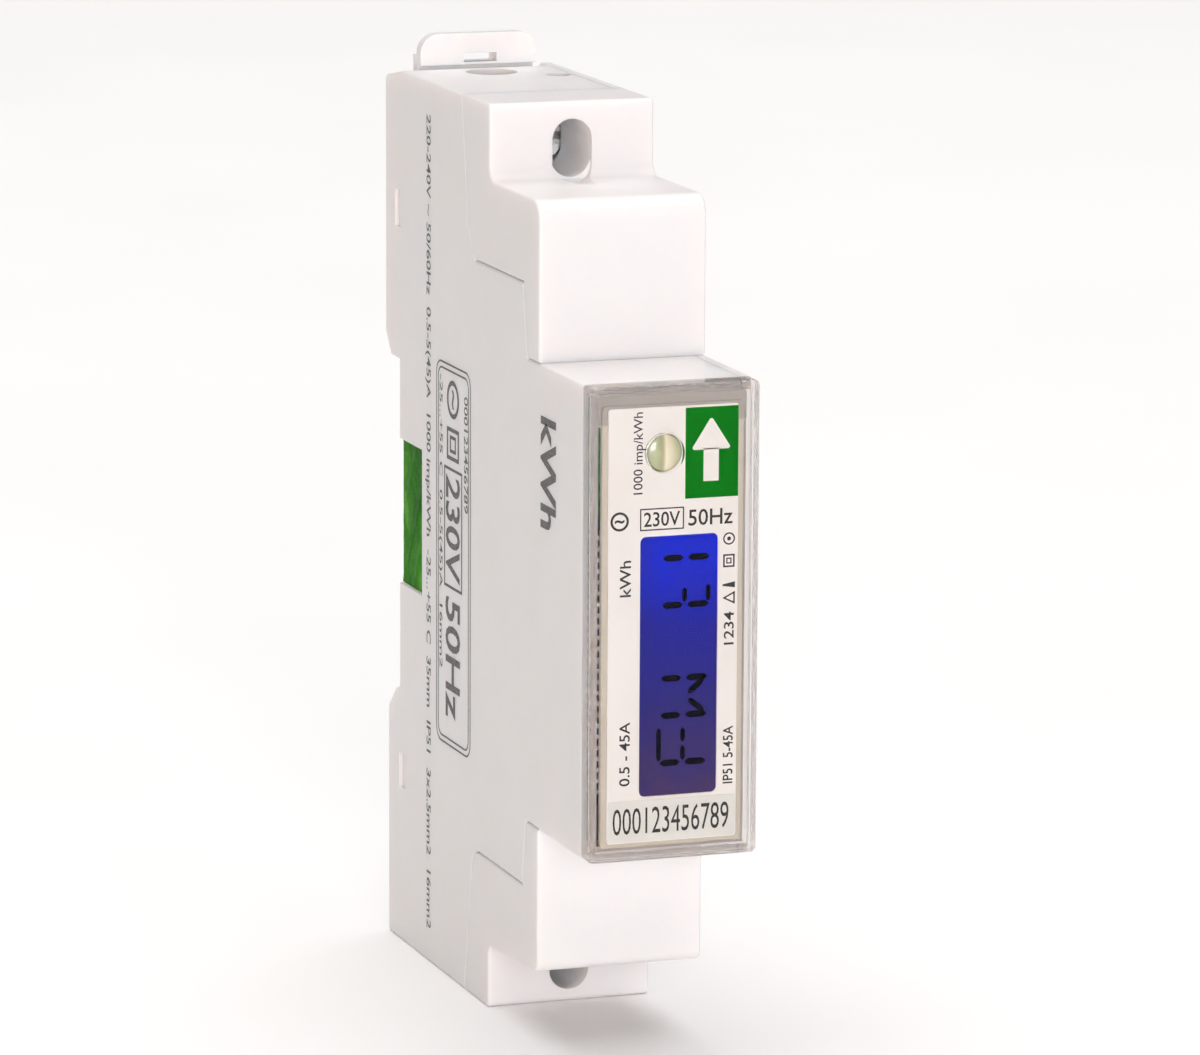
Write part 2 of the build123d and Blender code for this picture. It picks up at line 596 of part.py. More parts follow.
with BuildPart() as latch_spring:
    with BuildLine(Plane.XY.offset(SPRING_LOW + SPRING_WIRE)) as coil:
        Helix(pitch=1.15, height=SPRING_HIGH - SPRING_LOW - 2 * SPRING_WIRE, radius=SPRING_R)
    with BuildSketch(Plane(origin=coil.line @ 0, z_dir=coil.line % 0)):
        Circle(SPRING_WIRE)
    sweep(is_frenet=True)
with BuildPart() as latch_spring_placed:
    with Locations((0, spring_y, 0)):
        add(latch_spring.part)
save(latch_spring_placed.part, "latch_spring")

with BuildPart() as tamper_seal:
    foil_inner = -HALF + SEAL_POCKET
    block(foil_inner - SEAL_THICK, foil_inner, -7.7, -0.1, SEAL_LOW + 0.1, SEAL_HIGH - 0.1)
save(tamper_seal.part, "tamper_seal")


# ---------------------------------------------------------------- main board and its parts
with BuildPart() as main_board:
    with BuildSketch(Plane.YZ.offset(BOARD_LEFT)):
        with BuildLine():
            Polyline(
                (-11.0, -33.5),
                (-11.0, 33.0),
                (-43.5, 33.0),
                (-43.5, 18.5),
                (-56.3, 18.5),
                (-56.3, -16.8),
                (-43.5, -16.8),
                (-43.5, -33.5),
                close=True,
            )
        make_face()
    extrude(amount=BOARD_THICK)
save(main_board.part, "main_board")


def chip(y, z, size_y, size_z, height, leads, lead_pitch, face=-1):
    """A moulded chip on the board with gull-wing leads on its two long sides."""
    base = BOARD_LEFT if face < 0 else BOARD_RIGHT
    near, far = sorted((base + face * 0.1, base + face * height))
    block(near, far, y - size_y / 2, y + size_y / 2, z - size_z / 2, z + size_z / 2)
    chamfer(edges().filter_by(Axis.Z).sort_by(Axis.X)[0:2], 0.2)
    near, far = sorted((base, base + face * 0.25))
    for lead in range(leads):
        lead_z = z + (lead - (leads - 1) / 2) * lead_pitch
        half = lead_pitch * 0.18
        block(near, far, y - size_y / 2 - 0.9, y + size_y / 2 + 0.9, lead_z - half, lead_z + half)


def through_pins(y_values, z_values, x_from):
    """Round lead wires that run from a part into the board."""
    for pin_y in y_values:
        for pin_z in z_values:
            rod((x_from + BOARD_LEFT) / 2, pin_y, pin_z, 0.3, BOARD_LEFT - x_from, ALONG_X)


with BuildPart() as metering_chip:
    chip(-18.0, 5.0, 5.3, 10.2, 2.0, 10, 0.95)
save(metering_chip.part, "metering_chip")

with BuildPart() as microcontroller:
    chip(-39.0, -4.0, 7.0, 7.0, 1.4, 12, 0.5)
save(microcontroller.part, "microcontroller")

with BuildPart() as bus_transceiver:
    chip(-18.0, -25.5, 3.9, 4.9, 1.5, 4, 1.27)
save(bus_transceiver.part, "bus_transceiver")

with BuildPart() as optocouplers:
    for opto_y in (-28.0, -37.0):
        block(0.4, 3.8, opto_y - 3.2, opto_y + 3.2, -27.8, -23.2)
        through_pins((opto_y - 2.9, opto_y + 2.9), (-26.8, -24.2), 2.0)
save(optocouplers.part, "optocouplers")

with BuildPart() as bridge_rectifier:
    chip(-30.0, 24.0, 4.4, 4.7, 2.4, 2, 2.5)
save(bridge_rectifier.part, "bridge_rectifier")

with BuildPart() as crystal:
    with BuildSketch(Plane.YZ.offset(BOARD_LEFT - 3.4)):
        with Locations((-50.0, -10.0)):
            SlotOverall(9.0, 4.2, rotation=90)
    extrude(amount=3.4)
    fillet(crystal.faces().sort_by(Axis.X)[0].edges(), 0.4)
save(crystal.part, "crystal")

with BuildPart() as dropper_capacitor:
    block(-3.4, 3.2, -27.0, -14.0, 16.0, 31.0)
    fillet(dropper_capacitor.edges().filter_by(Axis.X), 0.8)
    through_pins((-25.0, -16.0), (23.5,), 3.0)
save(dropper_capacitor.part, "dropper_capacitor")

with BuildPart() as varistor:
    rod(-0.6, -36.5, 25.5, 3.8, 3.0, ALONG_Y)
    fillet(varistor.edges(), 1.0)
    through_pins((-36.5,), (23.4, 27.6), 1.6)
save(varistor.part, "varistor")

with BuildPart() as storage_capacitor:
    rod(0.0, -30.0, 9.5, 3.2, 12.0)
    fillet(storage_capacitor.edges(), 0.5)
    with Locations((0.0, -30.0, 13.6)):
        Torus(3.3, 0.35, mode=Mode.SUBTRACT)
    through_pins((-31.2, -28.8), (4.6,), 2.6)
save(storage_capacitor.part, "storage_capacitor")

with BuildPart() as transformer_core:
    block(-5.2, 3.7, -31.5, -22.5, -12.0, -4.0)
    for low, high in ((-11.0, -9.2), (-6.8, -5.0)):
        block(-3.6, 2.2, -33, -21, low, high, Mode.SUBTRACT)
save(transformer_core.part, "transformer_core")

with BuildPart() as transformer_winding:
    block(-3.4, 2.0, -34.2, -19.8, -10.9, -5.1)
    fillet(transformer_winding.edges().filter_by(Axis.X), 1.2)
    block(-6, 4, -31.6, -22.4, -9.3, -6.7, Mode.SUBTRACT)
save(transformer_winding.part, "transformer_winding")

with BuildPart() as fuse_resistor:
    rod(1.2, -40.5, 10.0, 1.9, 9.0)
    fillet(fuse_resistor.edges(), 0.6)
    rod(1.2, -40.5, 10.0, 0.35, 13.0)
    for end_z in (3.6, 16.4):
        block(0.9, BOARD_LEFT, -40.8, -40.2, end_z - 0.3, end_z + 0.3)
save(fuse_resistor.part, "fuse_resistor")

with BuildPart() as board_header:
    block(1.2, BOARD_LEFT, -56.5, -53.9, -7.0, 9.0)
    for header_pin in range(6):
        pin_z = -5.35 + header_pin * 2.54
        block(1.9, 2.5, -53.95, -52.4, pin_z - 0.3, pin_z + 0.3)
save(board_header.part, "board_header")
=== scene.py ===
"""Looks, light and camera for the slim rail-mounted electricity meter.

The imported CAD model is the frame: metres, +X right, -Y front, +Z up, with the
origin on the rail seat.
"""

import json
import math

import bmesh
import bpy
from mathutils import Matrix, Vector, noise


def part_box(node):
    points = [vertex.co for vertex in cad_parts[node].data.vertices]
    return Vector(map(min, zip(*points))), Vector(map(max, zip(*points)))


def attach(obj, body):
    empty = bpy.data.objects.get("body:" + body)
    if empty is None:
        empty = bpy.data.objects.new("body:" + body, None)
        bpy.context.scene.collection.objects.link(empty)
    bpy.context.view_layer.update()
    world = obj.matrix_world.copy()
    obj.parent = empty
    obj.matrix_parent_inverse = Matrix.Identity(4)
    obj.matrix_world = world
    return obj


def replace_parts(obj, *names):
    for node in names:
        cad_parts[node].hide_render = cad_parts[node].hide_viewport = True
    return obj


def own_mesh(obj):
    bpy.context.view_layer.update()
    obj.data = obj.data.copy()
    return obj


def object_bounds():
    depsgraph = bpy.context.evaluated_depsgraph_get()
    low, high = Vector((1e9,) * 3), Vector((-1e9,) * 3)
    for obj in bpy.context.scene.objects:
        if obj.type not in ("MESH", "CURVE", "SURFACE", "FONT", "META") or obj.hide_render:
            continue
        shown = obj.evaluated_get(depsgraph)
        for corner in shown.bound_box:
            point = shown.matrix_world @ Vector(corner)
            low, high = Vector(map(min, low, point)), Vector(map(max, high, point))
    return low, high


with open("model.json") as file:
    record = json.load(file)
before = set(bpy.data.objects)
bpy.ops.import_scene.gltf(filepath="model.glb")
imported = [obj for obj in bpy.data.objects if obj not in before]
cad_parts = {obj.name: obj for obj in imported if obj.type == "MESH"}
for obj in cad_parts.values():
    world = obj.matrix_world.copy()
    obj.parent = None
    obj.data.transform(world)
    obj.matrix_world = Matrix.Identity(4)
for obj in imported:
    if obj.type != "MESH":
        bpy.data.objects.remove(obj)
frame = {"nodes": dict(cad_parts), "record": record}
cad_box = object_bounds()
nodes = frame["nodes"]
scene = bpy.context.scene
MM = 0.001


# ---------------------------------------------------------------- node materials
class Finish:
    """A Principled material with its own pattern nodes, all in object coordinates."""

    WAVE_REPEAT = 3.2  # a wave texture repeats about this often per unit of its scale

    def __init__(self, name):
        self.mat = bpy.data.materials.new(name)
        self.mat.use_nodes = True
        self.tree = self.mat.node_tree
        self.bsdf = self.tree.nodes["Principled BSDF"]
        self.place = self.tree.nodes.new("ShaderNodeTexCoord").outputs["Object"]

    def set(self, **values):
        for key, value in values.items():
            self.bsdf.inputs[key.replace("_", " ")].default_value = value
        return self

    def stretched(self, scale):
        node = self.tree.nodes.new("ShaderNodeMapping")
        node.inputs["Scale"].default_value = scale
        self.tree.links.new(self.place, node.inputs["Vector"])
        return node.outputs["Vector"]

    def noise(self, size_mm, detail=3.0, rough=0.55, distortion=0.0, at=None):
        node = self.tree.nodes.new("ShaderNodeTexNoise")
        node.inputs["Scale"].default_value = 1000.0 / size_mm
        node.inputs["Detail"].default_value = detail
        node.inputs["Roughness"].default_value = rough
        node.inputs["Distortion"].default_value = distortion
        self.tree.links.new(at or self.place, node.inputs["Vector"])
        return node.outputs["Fac"]

    def cells(self, size_mm):
        node = self.tree.nodes.new("ShaderNodeTexVoronoi")
        node.inputs["Scale"].default_value = 1000.0 / size_mm
        self.tree.links.new(self.place, node.inputs["Vector"])
        return node.outputs["Distance"]

    def wave(self, size_mm, axis, distortion):
        node = self.tree.nodes.new("ShaderNodeTexWave")
        node.bands_direction = axis
        node.inputs["Scale"].default_value = 1000.0 / size_mm / self.WAVE_REPEAT
        node.inputs["Distortion"].default_value = distortion
        self.tree.links.new(self.place, node.inputs["Vector"])
        return node.outputs["Fac"]

    def axis(self, letter):
        node = self.tree.nodes.new("ShaderNodeSeparateXYZ")
        self.tree.links.new(self.place, node.inputs[0])
        return node.outputs[letter]

    def span(self, value, low, high, to_low=0.0, to_high=1.0):
        node = self.tree.nodes.new("ShaderNodeMapRange")
        ends = {"From Min": low, "From Max": high, "To Min": to_low, "To Max": to_high}
        for key, number in ends.items():
            node.inputs[key].default_value = number
        self.tree.links.new(value, node.inputs["Value"])
        return node.outputs["Result"]

    def ramp(self, value, stops):
        node = self.tree.nodes.new("ShaderNodeValToRGB")
        items = node.color_ramp.elements
        while len(items) < len(stops):
            items.new(0.5)
        for item, (place, colour) in zip(items, stops):
            item.position = place
            item.color = (*colour, 1.0)
        self.tree.links.new(value, node.inputs["Fac"])
        return node.outputs["Color"]

    def mix(self, factor, first, second):
        node = self.tree.nodes.new("ShaderNodeMix")
        node.data_type = "RGBA"
        for key, item in ((0, factor), (6, first), (7, second)):
            if isinstance(item, bpy.types.NodeSocket):
                self.tree.links.new(item, node.inputs[key])
            elif key:
                node.inputs[key].default_value = (*item, 1.0)
            else:
                node.inputs[key].default_value = item
        return node.outputs[2]

    def multiply(self, first, second):
        node = self.tree.nodes.new("ShaderNodeMath")
        node.operation = "MULTIPLY"
        self.tree.links.new(first, node.inputs[0])
        self.tree.links.new(second, node.inputs[1])
        return node.outputs[0]

    def near(self, letter, centre, reach, fade):
        """One within reach of centre along an axis, falling to zero over fade."""
        shift = self.tree.nodes.new("ShaderNodeMath")
        shift.operation = "SUBTRACT"
        self.tree.links.new(self.axis(letter), shift.inputs[0])
        shift.inputs[1].default_value = centre
        size = self.tree.nodes.new("ShaderNodeMath")
        size.operation = "ABSOLUTE"
        self.tree.links.new(shift.outputs[0], size.inputs[0])
        return self.span(size.outputs[0], reach, reach + fade, 1.0, 0.0)

    def colour(self, socket):
        self.tree.links.new(socket, self.bsdf.inputs["Base Color"])
        return self

    def rough(self, value, low, high, centre=0.5, spread=0.2):
        socket = self.span(value, centre - spread, centre + spread, low, high)
        self.tree.links.new(socket, self.bsdf.inputs["Roughness"])
        return self

    def bump(self, value, depth_mm, strength=1.0):
        node = self.tree.nodes.new("ShaderNodeBump")
        node.inputs["Distance"].default_value = depth_mm * MM
        node.inputs["Strength"].default_value = strength
        self.tree.links.new(value, node.inputs["Height"])
        normal = self.bsdf.inputs["Normal"]
        if normal.links:
            self.tree.links.new(normal.links[0].from_socket, node.inputs["Normal"])
        self.tree.links.new(node.outputs["Normal"], normal)
        return self


HOUSING_TONES = ((0.80, 0.750, 0.745), (0.815, 0.765, 0.76))
HOUSING_DEPTH = {
    "Subsurface_Weight": 0.5,
    "Subsurface_Radius": (1.0, 0.7, 0.55),
    "Subsurface_Scale": 0.003,
}
HOUSING_ROUGH = (0.42, 0.55)
OPENING_FRONT = -0.0302  # just behind the face that the screwdriver openings are in
OPENING_HALF_WIDE = 2.3 * MM
OPENING_HALF_HIGH = 3.1 * MM
# painted light: colour for the openings' inner walls, lighter than the housing, standing in for light
# bouncing inside them
OPENING_PAINTED_LIGHT = (0.97, 0.93, 0.915)
BEZEL_LEDGE = 0.0206  # height where the bezel shows above the label


def opening_height(cover):
    """Height of a cover's screwdriver opening, which is on its terminal's axis."""
    screw = cover.replace("terminal_cover", "terminal_screw")
    low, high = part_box(screw)
    return (low.z + high.z) / 2


def moulded(name, base, other, rough=HOUSING_ROUGH, grain_mm=0.35, depth_mm=0.006, **extra):
    """Injection-moulded plastic: soft mottling, a fine grain, tiny specks and uneven gloss."""
    f = Finish(name)
    tone = f.mix(f.span(f.noise(14.0, 2.0), 0.35, 0.65), base, other)
    speck = f.span(f.noise(0.5, 2.0, 0.7), 0.70, 0.80, 0.0, 0.35)
    dark = tuple(c * 0.72 for c in base)
    f.colour(f.mix(speck, tone, dark))
    f.rough(f.noise(3.0, 4.0), *rough)
    f.bump(f.noise(grain_mm, 2.0), depth_mm, 0.6)
    f.bump(f.noise(9.0, 1.0), 0.03, 0.25)
    f.set(**extra)
    return f.mat


def cover_plastic():
    """Housing plastic with painted light inside the covers' screwdriver openings, drawn lighter than the
    housing.
    """
    f = Finish("cover_plastic")
    fade = 0.1 * MM
    tone = f.mix(f.span(f.noise(14.0, 2.0), 0.35, 0.65), *HOUSING_TONES)
    beside = f.near("X", 0.0, OPENING_HALF_WIDE, fade)
    behind = f.span(f.axis("Y"), OPENING_FRONT, OPENING_FRONT + 4 * fade)
    for cover in ("top_terminal_cover", "bottom_terminal_cover"):
        level = f.near("Z", opening_height(cover), OPENING_HALF_HIGH, fade)
        # painted light: the housing is drawn lighter inside each opening
        painted_light_mask = f.multiply(f.multiply(beside, behind), level)
        tone = f.mix(painted_light_mask, tone, OPENING_PAINTED_LIGHT)
    f.colour(tone)
    f.rough(f.noise(3.0, 4.0), *HOUSING_ROUGH)
    f.bump(f.noise(0.35, 2.0), 0.006, 0.6)
    f.bump(f.noise(9.0, 1.0), 0.03, 0.25)
    f.set(**HOUSING_DEPTH)
    return f.mat


def metal(name, base, other, rough, along=(1.0, 1.0, 1.0)):
    """Drawn or plated metal: streaks along one way, cloudy plating, fine scratches."""
    f = Finish(name)
    at = f.stretched(along)
    f.colour(f.mix(f.span(f.noise(2.5, 4.0, at=at), 0.35, 0.65), base, other))
    f.rough(f.noise(0.8, 5.0, at=at), *rough)
    f.bump(f.noise(0.25, 3.0, at=at), 0.004, 0.6)
    f.set(Metallic=1.0)
    return f.mat


def circuit(name, mask, trace):
    """Solder mask over raised copper runs, with small tinned dots."""
    f = Finish(name)
    run_mm, wander = 1.6, 6.0
    lanes = f.mix(f.span(f.wave(run_mm, "Z", wander), 0.55, 0.62), mask, trace)
    dots = f.span(f.cells(2.4), 0.10, 0.13, 1.0, 0.0)
    f.colour(f.mix(dots, lanes, (0.62, 0.60, 0.55)))
    f.rough(f.noise(1.5, 3.0), 0.28, 0.42)
    f.bump(f.wave(run_mm, "Z", wander), 0.03, 0.5)
    f.set(Coat_Weight=0.3, Coat_Roughness=0.2)
    return f.mat


def make_materials():
    m = {}
    m["housing_plastic"] = moulded(
        "housing_plastic", *HOUSING_TONES, HOUSING_ROUGH, 0.35, 0.006, **HOUSING_DEPTH
    )
    m["cover_plastic"] = cover_plastic()
    m["latch_nylon"] = moulded(
        "latch_nylon", (0.83, 0.815, 0.81), (0.87, 0.85, 0.85), (0.32, 0.42), 0.6, 0.004,
        Subsurface_Weight=0.35, Subsurface_Scale=0.0015,
    )
    f = Finish("bezel_plastic")
    cream = f.mix(f.span(f.noise(14.0, 2.0), 0.35, 0.65), (0.60, 0.54, 0.455), (0.65, 0.59, 0.51))
    # painted shade: above BEZEL_LEDGE the cream bezel is drawn grey, standing in for the shade it lies in
    # under the window's top edge
    painted_shade_above_label = f.span(f.axis("Z"), BEZEL_LEDGE, BEZEL_LEDGE + 0.2 * MM)
    f.colour(f.mix(painted_shade_above_label, cream, (0.42, 0.385, 0.365)))
    f.rough(f.noise(3.0, 4.0), 0.4, 0.5)
    f.bump(f.noise(0.4, 2.0), 0.004, 0.6)
    m["bezel_plastic"] = f.mat
    m["white_nylon"] = moulded("white_nylon", (0.80, 0.80, 0.77), (0.86, 0.86, 0.83), (0.4, 0.5))
    m["black_plastic"] = moulded(
        "black_plastic", (0.018, 0.018, 0.02), (0.03, 0.03, 0.032), (0.38, 0.52), 0.3, 0.01
    )
    m["resistor_green"] = moulded(
        "resistor_green", (0.10, 0.22, 0.12), (0.16, 0.30, 0.17), (0.55, 0.75), 0.4, 0.03
    )
    m["capacitor_box"] = moulded("capacitor_box", (0.72, 0.42, 0.03), (0.80, 0.50, 0.06), (0.22, 0.32))
    m["varistor_blue"] = moulded(
        "varistor_blue", (0.02, 0.07, 0.34), (0.03, 0.12, 0.44), (0.2, 0.35), 0.9, 0.03
    )
    m["ferrite"] = moulded("ferrite", (0.045, 0.042, 0.04), (0.075, 0.07, 0.066), (0.5, 0.7), 0.25, 0.012)

    f = Finish("clear_acrylic")
    f.set(Base_Color=(0.935, 0.915, 0.90, 1.0), Transmission_Weight=1.0, IOR=1.25)
    f.set(Specular_Tint=(0.25, 0.25, 0.25, 1.0))  # weak mirror image head-on, so the label stays clear
    f.rough(f.noise(6.0, 3.0), 0.008, 0.03)
    f.bump(f.noise(12.0, 1.0), 0.012, 0.08)
    m["clear_acrylic"] = f.mat

    f = Finish("printed_label")
    f.colour(f.mix(f.span(f.noise(9.0, 2.0), 0.35, 0.65), (0.95, 0.91, 0.89), (0.965, 0.93, 0.91)))
    f.rough(f.noise(0.6, 4.0), 0.38, 0.5)
    f.bump(f.noise(0.3, 2.0), 0.003, 0.4)
    f.set(Specular_IOR_Level=0.25)
    m["printed_label"] = f.mat

    f = Finish("serial_sticker")
    f.colour(f.mix(f.span(f.noise(5.0, 3.0), 0.35, 0.65), (0.80, 0.79, 0.755), (0.85, 0.84, 0.80)))
    f.rough(f.noise(0.5, 4.0), 0.5, 0.65)
    f.bump(f.noise(0.25, 3.0), 0.004, 0.6)
    m["serial_sticker"] = f.mat

    f = Finish("print_ink")
    f.colour(f.mix(f.span(f.noise(0.18, 3.0), 0.45, 0.75), (0.016, 0.016, 0.017), (0.05, 0.048, 0.046)))
    f.rough(f.noise(0.3, 2.0), 0.42, 0.6)
    m["print_ink"] = f.mat

    f = Finish("side_ink")
    f.colour(f.mix(f.span(f.noise(0.22, 3.0), 0.4, 0.75), (0.055, 0.052, 0.05), (0.22, 0.205, 0.195)))
    f.rough(f.noise(0.3, 2.0), 0.45, 0.65)
    m["side_ink"] = f.mat

    f = Finish("print_green")
    f.colour(f.mix(f.span(f.noise(0.8, 3.0), 0.35, 0.65), (0.001, 0.185, 0.006), (0.002, 0.215, 0.009)))
    f.rough(f.noise(0.6, 3.0), 0.45, 0.6)
    f.set(Specular_IOR_Level=0.02)
    m["print_green"] = f.mat

    f = Finish("lcd_panel")
    tall = f.span(f.axis("Z"), -0.0168, 0.0098)
    glow = f.ramp(
        tall,
        [
            (0.0, (0.080, 0.044, 0.086)),
            (0.10, (0.062, 0.038, 0.106)),
            (0.36, (0.032, 0.026, 0.180)),
            (0.66, (0.018, 0.020, 0.325)),
            (0.90, (0.009, 0.026, 0.70)),
            (1.0, (0.009, 0.024, 0.64)),
        ],
    )
    left = f.span(f.axis("X"), -0.0036, -0.0012, 0.35, 0.0)
    cloud = f.span(f.noise(5.0, 2.0), 0.3, 0.7, 0.0, 0.35)
    shade = f.mix(left, glow, (0.022, 0.020, 0.15))
    shade = f.mix(cloud, shade, (0.024, 0.024, 0.26))
    f.tree.links.new(shade, f.bsdf.inputs["Emission Color"])
    f.colour(f.mix(0.9, shade, (0.001, 0.001, 0.004)))
    f.rough(f.noise(2.0, 2.0), 0.10, 0.16)
    f.bump(f.noise(3.0, 1.0), 0.004, 0.3)
    f.set(Emission_Strength=1.0, Specular_IOR_Level=0.03)
    m["lcd_panel"] = f.mat

    f = Finish("lcd_segment")
    f.colour(f.mix(f.span(f.noise(0.5, 2.0), 0.35, 0.65), (0.001, 0.001, 0.004), (0.003, 0.003, 0.012)))
    f.rough(f.noise(0.5, 2.0), 0.4, 0.5)
    f.set(Specular_IOR_Level=0.05)
    m["lcd_segment"] = f.mat

    f = Finish("light_guide")
    f.colour(f.mix(f.span(f.noise(6.0, 2.0), 0.35, 0.65), (0.55, 0.54, 0.50), (0.66, 0.65, 0.62)))
    f.rough(f.noise(1.0, 3.0), 0.25, 0.4)
    f.set(Transmission_Weight=0.35, IOR=1.49)
    m["light_guide"] = f.mat

    f = Finish("key_plastic")
    # painted highlight and shade: across the dome the colour runs from a darker greenish left through a
    # bright vertical highlight streak to a warm right, over the key's own greenish cream
    across = f.span(f.axis("X"), -0.00285, 0.00075)
    body = f.ramp(
        across,
        [
            (0.0, (0.36, 0.38, 0.26)),
            (0.22, (0.40, 0.42, 0.24)),
            (0.38, (0.33, 0.34, 0.19)),
            (0.44, (0.40, 0.36, 0.22)),
            (0.52, (0.74, 0.66, 0.50)),
            (0.64, (0.66, 0.60, 0.42)),
            (0.80, (0.50, 0.47, 0.30)),
            (1.0, (0.38, 0.37, 0.25)),
        ],
    )
    f.colour(f.mix(f.span(f.noise(0.9, 3.0), 0.3, 0.7, 0.0, 0.25), body, (0.52, 0.50, 0.36)))
    f.rough(f.noise(0.8, 3.0), 0.16, 0.26)
    f.bump(f.noise(0.7, 2.0), 0.006, 0.5)
    f.set(Subsurface_Weight=0.25, Subsurface_Scale=0.0006, IOR=1.49, Coat_Weight=0.4, Coat_Roughness=0.1)
    m["key_plastic"] = f.mat

    f = Finish("led_lens")
    f.colour(f.mix(f.span(f.noise(0.8, 2.0), 0.35, 0.65), (0.80, 0.70, 0.62), (0.88, 0.80, 0.72)))
    f.rough(f.noise(0.5, 2.0), 0.08, 0.16)
    f.set(Transmission_Weight=0.6, IOR=1.5)
    m["led_lens"] = f.mat

    f = Finish("seal_foil")
    # painted highlight: the brightest stops of this ramp draw a glossy sheen streak on the foil; the
    # darker stops are its own green
    streak = f.noise(3.2, 4.0, 0.62, 0.6, at=f.stretched((1.0, 1.0, 0.55)))
    tone = f.ramp(
        streak,
        [
            (0.28, (0.008, 0.080, 0.001)),
            (0.45, (0.020, 0.165, 0.002)),
            (0.58, (0.040, 0.235, 0.004)),
            (0.78, (0.20, 0.44, 0.08)),
        ],
    )
    # painted shade: the foil is drawn darker towards its front edge, at the rim of its pocket
    edge = f.span(f.axis("Y"), -0.0076, -0.0060, 0.45, 0.0)
    f.colour(f.mix(edge, tone, (0.008, 0.070, 0.004)))
    f.rough(f.noise(1.2, 3.0), 0.2, 0.38)
    f.bump(f.noise(1.1, 4.0, 0.6, 0.8), 0.05, 0.6)
    f.set(Specular_IOR_Level=0.01)
    m["seal_foil"] = f.mat

    m["plated_steel"] = metal("plated_steel", (0.60, 0.60, 0.585), (0.70, 0.70, 0.70), (0.22, 0.36))
    m["spring_steel"] = metal(
        "spring_steel", (0.50, 0.50, 0.50), (0.60, 0.60, 0.61), (0.16, 0.3), (1.0, 1.0, 0.2)
    )
    m["tinned_copper"] = metal(
        "tinned_copper", (0.72, 0.36, 0.20), (0.80, 0.46, 0.28), (0.22, 0.4), (1.0, 1.0, 0.12)
    )
    m["manganin"] = metal("manganin", (0.50, 0.32, 0.20), (0.58, 0.40, 0.28), (0.3, 0.5), (1.0, 1.0, 0.15))
    m["crystal_can"] = metal("crystal_can", (0.66, 0.65, 0.62), (0.74, 0.73, 0.71), (0.10, 0.22))

    m["circuit_board"] = circuit("circuit_board", (0.008, 0.085, 0.032), (0.018, 0.15, 0.055))

    f = Finish("chip_epoxy")
    f.colour(f.mix(f.span(f.noise(0.6, 3.0), 0.35, 0.65), (0.016, 0.016, 0.017), (0.032, 0.031, 0.03)))
    f.rough(f.noise(0.3, 4.0), 0.45, 0.7)
    f.bump(f.noise(0.12, 3.0), 0.01, 0.7)
    m["chip_epoxy"] = f.mat

    f = Finish("can_sleeve")
    stripe = f.span(f.axis("Y"), -0.0322, -0.0318, 1.0, 0.0)
    f.colour(f.mix(stripe, (0.018, 0.020, 0.028), (0.30, 0.31, 0.32)))
    f.rough(f.noise(1.2, 3.0), 0.18, 0.32)
    f.bump(f.noise(1.6, 2.0), 0.02, 0.4)
    m["can_sleeve"] = f.mat

    f = Finish("winding_tape")
    f.colour(f.mix(f.span(f.wave(0.45, "Y", 0.3), 0.3, 0.7), (0.66, 0.42, 0.03), (0.78, 0.55, 0.07)))
    f.rough(f.noise(1.0, 3.0), 0.2, 0.35)
    f.bump(f.wave(0.45, "Y", 0.3), 0.04, 0.6)
    m["winding_tape"] = f.mat
    return m


materials = make_materials()
for entry in frame["record"]["subparts"]:
    cad = nodes[entry["node"]]
    cad.data.materials.clear()
    cover = entry["node"].endswith("terminal_cover")
    cad.data.materials.append(materials["cover_plastic" if cover else entry["material_slot"]])


